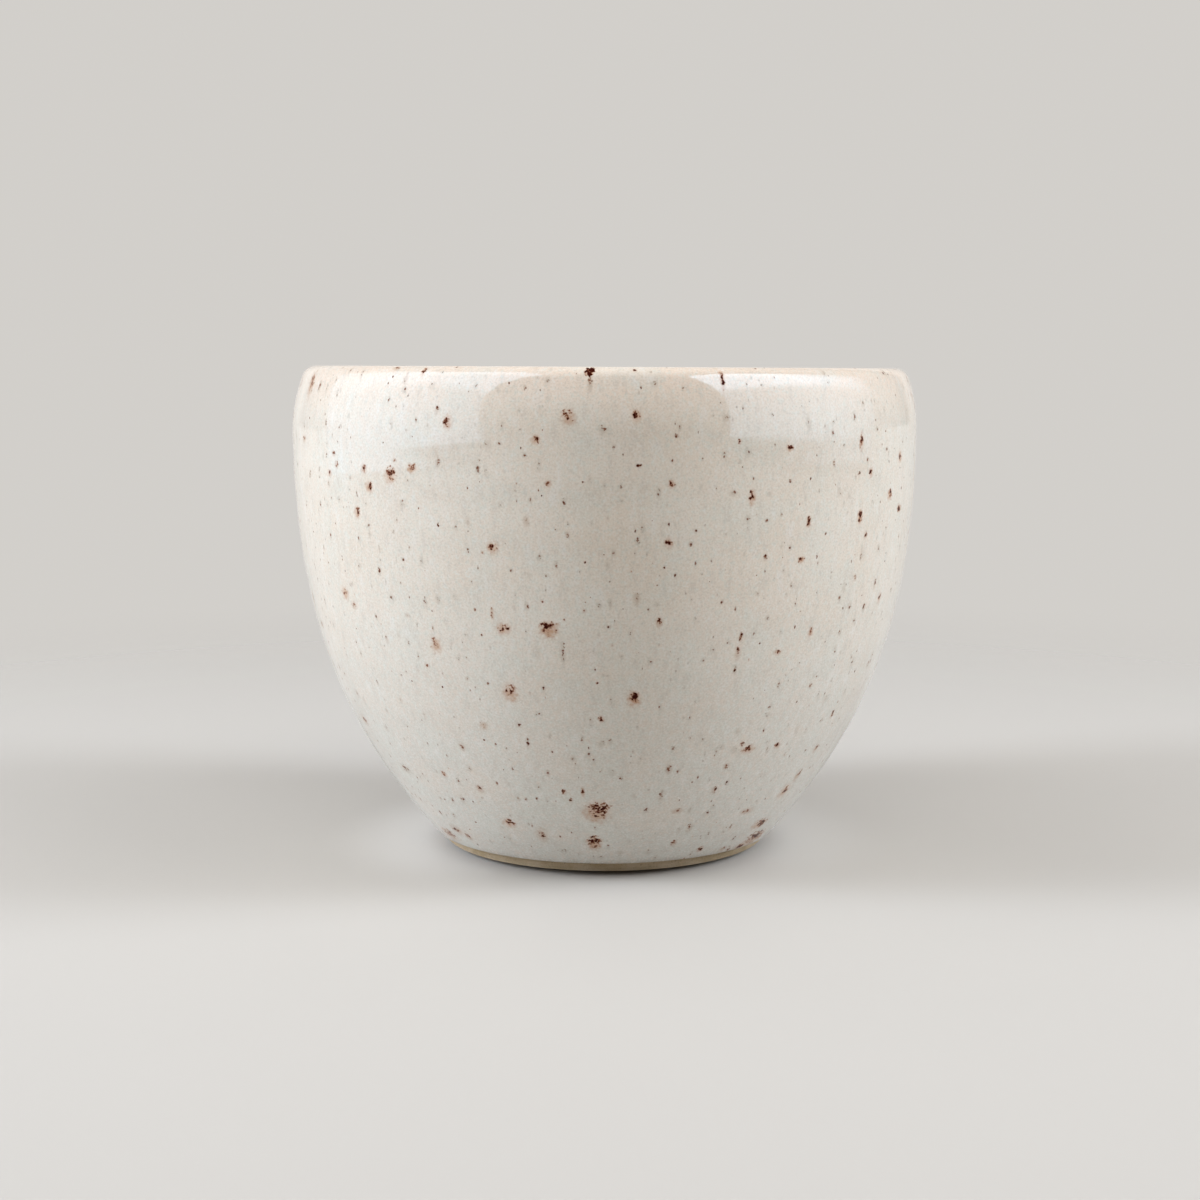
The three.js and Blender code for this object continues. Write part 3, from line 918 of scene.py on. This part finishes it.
# The finished skin runs in one sweep over both coats, so its normals match where they meet on the lip.
crest = len(outer_face) - 1
skin = np.concatenate([outer_face, inner_face[1:]])
ridge = np.where(np.arange(len(skin)) <= crest, OUTSIDE_RIDGE, INSIDE_RIDGE)
skin_grid = swept(skin, ridge[:, None])
skin_normals = surface_normals(skin_grid, run_lengths(skin))

outer_under = outside.under()
bead = bead_points(outer_under[0], outer_face[0])
outer_behind = np.concatenate([outer_under[::-1][::HIDDEN_SKIP], outer_under[:1], bead])
outer_mesh = build_coat(
    "outer_glaze_coat",
    outer_face,
    skin_grid[:crest + 1],
    skin_normals[:crest + 1],
    swept(outer_behind, OUTSIDE_RIDGE),
    outer_spots,
)
inner_under = inside.under()
inner_behind = np.concatenate([inner_under[::-1][::HIDDEN_SKIP], inner_under[:1]])
inner_mesh = build_coat(
    "liner_glaze_coat",
    inner_face,
    skin_grid[crest:],
    skin_normals[crest:],
    swept(inner_behind, INSIDE_RIDGE),
    inner_spots,
)
bare_clay = underside()
covered_clay = [outside.points[::CLAY_SKIP], inside.points[::-1][::CLAY_SKIP][::-1]]
clay_rings = ring_list(swept(np.concatenate([bare_clay, *covered_clay]), 0))
clay_mesh = sweep_mesh("stoneware_turned", clay_rings, False)
set_map(clay_mesh, clay_rings, False, run_lengths(bare_clay))

link(outer_mesh, glaze_material("speckled_outer_glaze", *OUTER_THICK), "outer_glaze")
link(inner_mesh, glaze_material("speckled_liner_glaze", *LINER_THICK), "liner_glaze")
link(clay_mesh, clay_material("bare_stoneware"), "stoneware_body")

# The table: pale, with a painted glow beside the foot, fading into the backdrop's colour away from the
# cup.
FLOOR_COLOUR = (0.567, 0.528, 0.479)
FLOOR_GRAIN = (0.537, 0.498, 0.451)
FLOOR_BOUNCE = (0.485, 0.468, 0.447)
# Painted light: the table's colour where the glazed wall's reflected light falls beside the foot.
FLOOR_PAINTED_GLOW = (0.735, 0.700, 0.655)
BACKDROP_COLOUR = (0.645, 0.625, 0.595)
ROOM_COLOUR = (0.180, 0.173, 0.162)
FLOOR_GRAIN_SIZE, FLOOR_GRAIN_STRENGTH = 30, 0.03
FLOOR_ROUGHNESS, FLOOR_SPECULAR = 0.6, 0.1
FLOOR_RADIUS, FLOOR_SIDES = 1600, 64
FADE_FROM, FADE_TO = 95, 300

# A painted glow in the table's colour, standing in for the light that the glossy wall throws on the table
# to either
# side: how far it reaches from the axis, the share of that distance that lies sideways where it begins and
# where it is full, and its strength on the right as a share of that on the left.
GLOW_FROM, GLOW_TO = 24, 43
GLOW_SIDE_FROM, GLOW_SIDE_TO = 0.4, 0.95
GLOW_RIGHT = 0.5


def floor_material():
    s = Shader("pale_table")
    s.surface.inputs["Roughness"].default_value = FLOOR_ROUGHNESS
    s.surface.inputs["Specular IOR Level"].default_value = FLOOR_SPECULAR
    grain = s.step(s.noise(FLOOR_GRAIN_SIZE, 3), 0.3, 0.7, 0.0, FLOOR_GRAIN_STRENGTH)
    from_axis = s.length(s.split[0], s.split[1])
    sideways = s.maths("DIVIDE", s.maths("ABSOLUTE", s.split[0]), from_axis)
    beside = s.step(sideways, GLOW_SIDE_FROM, GLOW_SIDE_TO)
    beside = s.maths("MULTIPLY", beside, s.step(s.split[0], -GLOW_FROM, GLOW_FROM, 1.0, GLOW_RIGHT))
    # Painted light: the table is lightened beside the foot, in place of the light that the glaze throws on
    # it.
    glow = s.maths("MULTIPLY", s.step(from_axis, GLOW_FROM, GLOW_TO, 1.0, 0.0), beside)
    colour = s.mix(glow, s.mix(grain, FLOOR_COLOUR, FLOOR_GRAIN), FLOOR_PAINTED_GLOW)
    path = s.node("ShaderNodeLightPath", {}).outputs
    seen = s.maths("MAXIMUM", path["Is Camera Ray"], path["Is Glossy Ray"])
    s.put(s.surface.inputs["Base Color"], s.mix(seen, FLOOR_BOUNCE, colour))
    faded = s.step(from_axis, FADE_FROM, FADE_TO)
    clear = s.node("ShaderNodeBsdfTransparent", {}).outputs[0]
    both = s.node("ShaderNodeMixShader", {0: faded, 1: s.surface.outputs[0], 2: clear}).outputs[0]
    s.put(s.tree.nodes["Material Output"].inputs["Surface"], both)
    return s.material


def add_floor():
    mesh = bpy.data.meshes.new("table")
    radius = FLOOR_RADIUS * MM
    around = np.arange(FLOOR_SIDES) / FLOOR_SIDES * FULL_TURN
    corners = [(radius * math.cos(angle), radius * math.sin(angle), 0) for angle in around]
    mesh.from_pydata(corners, [], [list(range(FLOOR_SIDES))])
    mesh.materials.append(floor_material())
    table = bpy.data.objects.new("table", mesh)
    bpy.context.collection.objects.link(table)


# Colours of the light.
NEUTRAL = (1.0, 1.0, 1.0)
DAYLIGHT = (0.78, 1.0, 1.22)
COOL = (0.885, 1.0, 1.17)
LESS_COOL = (0.89, 1.0, 1.16)

# Lamps that light the cup but don't show in its glaze: degrees round from the camera and up from the
# horizon, degrees that the lamp spans each way, its level and its colour.
LAMP_AWAY = 700
LAMP_AIM = 50
LAMPS = (
    ("left_key", -80, 18, 16, 34, 53.0, COOL),
    ("left_high_key", -88, 45, 30, 44, 5.2, NEUTRAL),
    ("left_front_key", -55, 45, 30, 44, 3.2, NEUTRAL),
    ("left_rear_key", -130, 48, 34, 48, 2.6, NEUTRAL),
    ("right_key", 84, 23.5, 18, 34, 36.0, LESS_COOL),
    ("right_high_key", 88, 45, 30, 44, 4.0, NEUTRAL),
    ("right_front_key", 60, 45, 30, 44, 6.2, NEUTRAL),
    ("right_rear_key", 130, 48, 34, 48, 1.8, NEUTRAL),
    ("front_fill", 0, 60, 60, 36, 4.8, NEUTRAL),
)


def add_lamp(name, turn_degrees, rise_degrees, turn_span, rise_span, level, colour):
    """A flat soft lamp that faces the cup."""
    turn, rise = math.radians(turn_degrees), math.radians(rise_degrees)
    away = Vector((math.sin(turn) * math.cos(rise), -math.cos(turn) * math.cos(rise), math.sin(rise)))
    lamp = bpy.data.lights.new(name, "AREA")
    lamp.shape = "RECTANGLE"
    lamp.size = 2 * LAMP_AWAY * MM * math.tan(math.radians(turn_span / 2)) * math.cos(rise)
    lamp.size_y = 2 * LAMP_AWAY * MM * math.tan(math.radians(rise_span / 2))
    lamp.energy = level * lamp.size * lamp.size_y
    lamp.color = colour
    panel = bpy.data.objects.new(name, lamp)
    panel.location = Vector((0, 0, LAMP_AIM * MM)) + away * (LAMP_AWAY * MM)
    panel.rotation_euler = (-away).to_track_quat("-Z", "Y").to_euler()
    panel.visible_camera = False
    panel.visible_glossy = False
    bpy.context.collection.objects.link(panel)


# Softboxes that show in the glaze but light nothing else: outlines of depths and heights, the slanting
# waist where the level changes and the band that it blends over, and the slant of the dark foot.
# Each box's foot brightens between two heights, and its levels are those at the front and the back,
# first below the waist and then above it.
SOFTBOX_AWAY = 420
SOFTBOX_DIMS_FROM = -100
SOFTBOX_FOOT_SLOPE = 0.03
SOFTBOX_WAIST = 229
SOFTBOX_WAIST_SLOPE = 0.35
SOFTBOX_BLEND = 25
LEFT_OUTLINE = (
    (-470, 20), (-440, 330), (-500, 470), (-590, 580), (-680, 810), (-680, 1350),
    (-250, 1410), (-60, 1080), (30, 770), (170, 530), (205, 300), (205, 190), (172, 60), (172, 20),
)
RIGHT_OUTLINE = (
    (-470, 20), (-440, 300), (-490, 450), (-550, 550), (-585, 720), (-500, 900),
    (-200, 900), (-40, 780), (30, 630), (130, 400), (148, 170), (113, 60), (113, 20),
)
LEFT_FOOT, LEFT_LEVELS = (20, 31), ((2.0, 0.85), (3.9, 1.0))
RIGHT_FOOT, RIGHT_LEVELS = (22, 50), ((2.05, 0.65), (5.8, 1.1))


def softbox_material(name, foot, back, low_levels, high_levels):
    """Glow of a softbox: levels at the front and the back, for the parts below and above its waist."""
    s = Shader(name)
    low = s.step(s.split[1], SOFTBOX_DIMS_FROM, back, *low_levels)
    high = s.step(s.split[1], SOFTBOX_DIMS_FROM, back, *high_levels)
    above_waist = s.maths("MULTIPLY_ADD", s.split[1], SOFTBOX_WAIST_SLOPE, s.height)
    upper = s.step(above_waist, SOFTBOX_WAIST - SOFTBOX_BLEND, SOFTBOX_WAIST + SOFTBOX_BLEND)
    level = s.maths("MULTIPLY_ADD", upper, s.maths("SUBTRACT", high, low), low)
    above_foot = s.maths("MULTIPLY_ADD", s.split[1], SOFTBOX_FOOT_SLOPE, s.height)
    level = s.maths("MULTIPLY", level, s.step(above_foot, *foot))
    glow = s.node("ShaderNodeEmission", {"Color": (*DAYLIGHT, 1), "Strength": level}).outputs[0]
    s.put(s.tree.nodes["Material Output"].inputs["Surface"], glow)
    return s.material


def add_softbox(name, away, outline, foot, low_levels, high_levels):
    """An upright softbox beside the cup, cut to an outline, that only shows in the glaze."""
    mesh = bpy.data.meshes.new(name)
    corners = [(away * MM, depth * MM, height * MM) for depth, height in outline]
    mesh.from_pydata(corners, [], [list(range(len(corners)))])
    back = max(depth for depth, _ in outline)
    mesh.materials.append(softbox_material(name, foot, back, low_levels, high_levels))
    panel = bpy.data.objects.new(name, mesh)
    panel.visible_camera = False
    panel.visible_diffuse = False
    panel.visible_transmission = False
    panel.visible_shadow = False
    bpy.context.collection.objects.link(panel)


# Where the backdrop stands, as the share of a direction that points away from the camera,
# and the drop below the horizon over which the table's far part turns as pale.
BACKDROP_SHARES = (0.79, 0.86)
HORIZON_DROP = (0.0, -0.02)


def add_world():
    """A dim room with a pale backdrop, which the glaze mirrors behind the cup and past the table."""
    world = bpy.data.worlds.new("studio")
    world.use_nodes = True
    n = Nodes(world.node_tree)
    direction = n.node("ShaderNodeTexCoord", {}).outputs["Generated"]
    split = n.node("ShaderNodeSeparateXYZ", {0: direction}).outputs
    path = n.node("ShaderNodeLightPath", {}).outputs
    behind = n.step(split[1], *BACKDROP_SHARES)
    below = n.maths("MULTIPLY", n.step(split[2], *HORIZON_DROP), path["Is Glossy Ray"])
    pale = n.maths("MAXIMUM", path["Is Camera Ray"], n.maths("MAXIMUM", behind, below))
    room = n.node("ShaderNodeBackground", {"Color": (*ROOM_COLOUR, 1)}).outputs[0]
    backdrop = n.node("ShaderNodeBackground", {"Color": (*BACKDROP_COLOUR, 1)}).outputs[0]
    both = n.node("ShaderNodeMixShader", {0: pale, 1: room, 2: backdrop}).outputs[0]
    n.put(n.tree.nodes["World Output"].inputs["Surface"], both)
    bpy.context.scene.world = world


def add_camera():
    lens = bpy.data.cameras.new("photo_camera")
    lens.sensor_width = SENSOR_WIDTH
    lens.lens = FOCAL_PIXELS / PHOTO_SIDE * SENSOR_WIDTH
    lens.clip_start = CAMERA_SEES_FROM * MM
    camera = bpy.data.objects.new("photo_camera", lens)
    camera.location = (CAMERA_RIGHT * MM, -CAMERA_AWAY * MM, CAMERA_HEIGHT * MM)
    camera.rotation_euler = (math.radians(90 - CAMERA_DOWN_DEGREES), 0, 0)
    bpy.context.collection.objects.link(camera)
    bpy.context.scene.camera = camera


add_floor()
for lamp_row in LAMPS:
    add_lamp(*lamp_row)
add_softbox("left_softbox", -SOFTBOX_AWAY, LEFT_OUTLINE, LEFT_FOOT, *LEFT_LEVELS)
add_softbox("right_softbox", SOFTBOX_AWAY, RIGHT_OUTLINE, RIGHT_FOOT, *RIGHT_LEVELS)
add_world()
add_camera()
bpy.context.scene.view_settings.view_transform = "Standard"
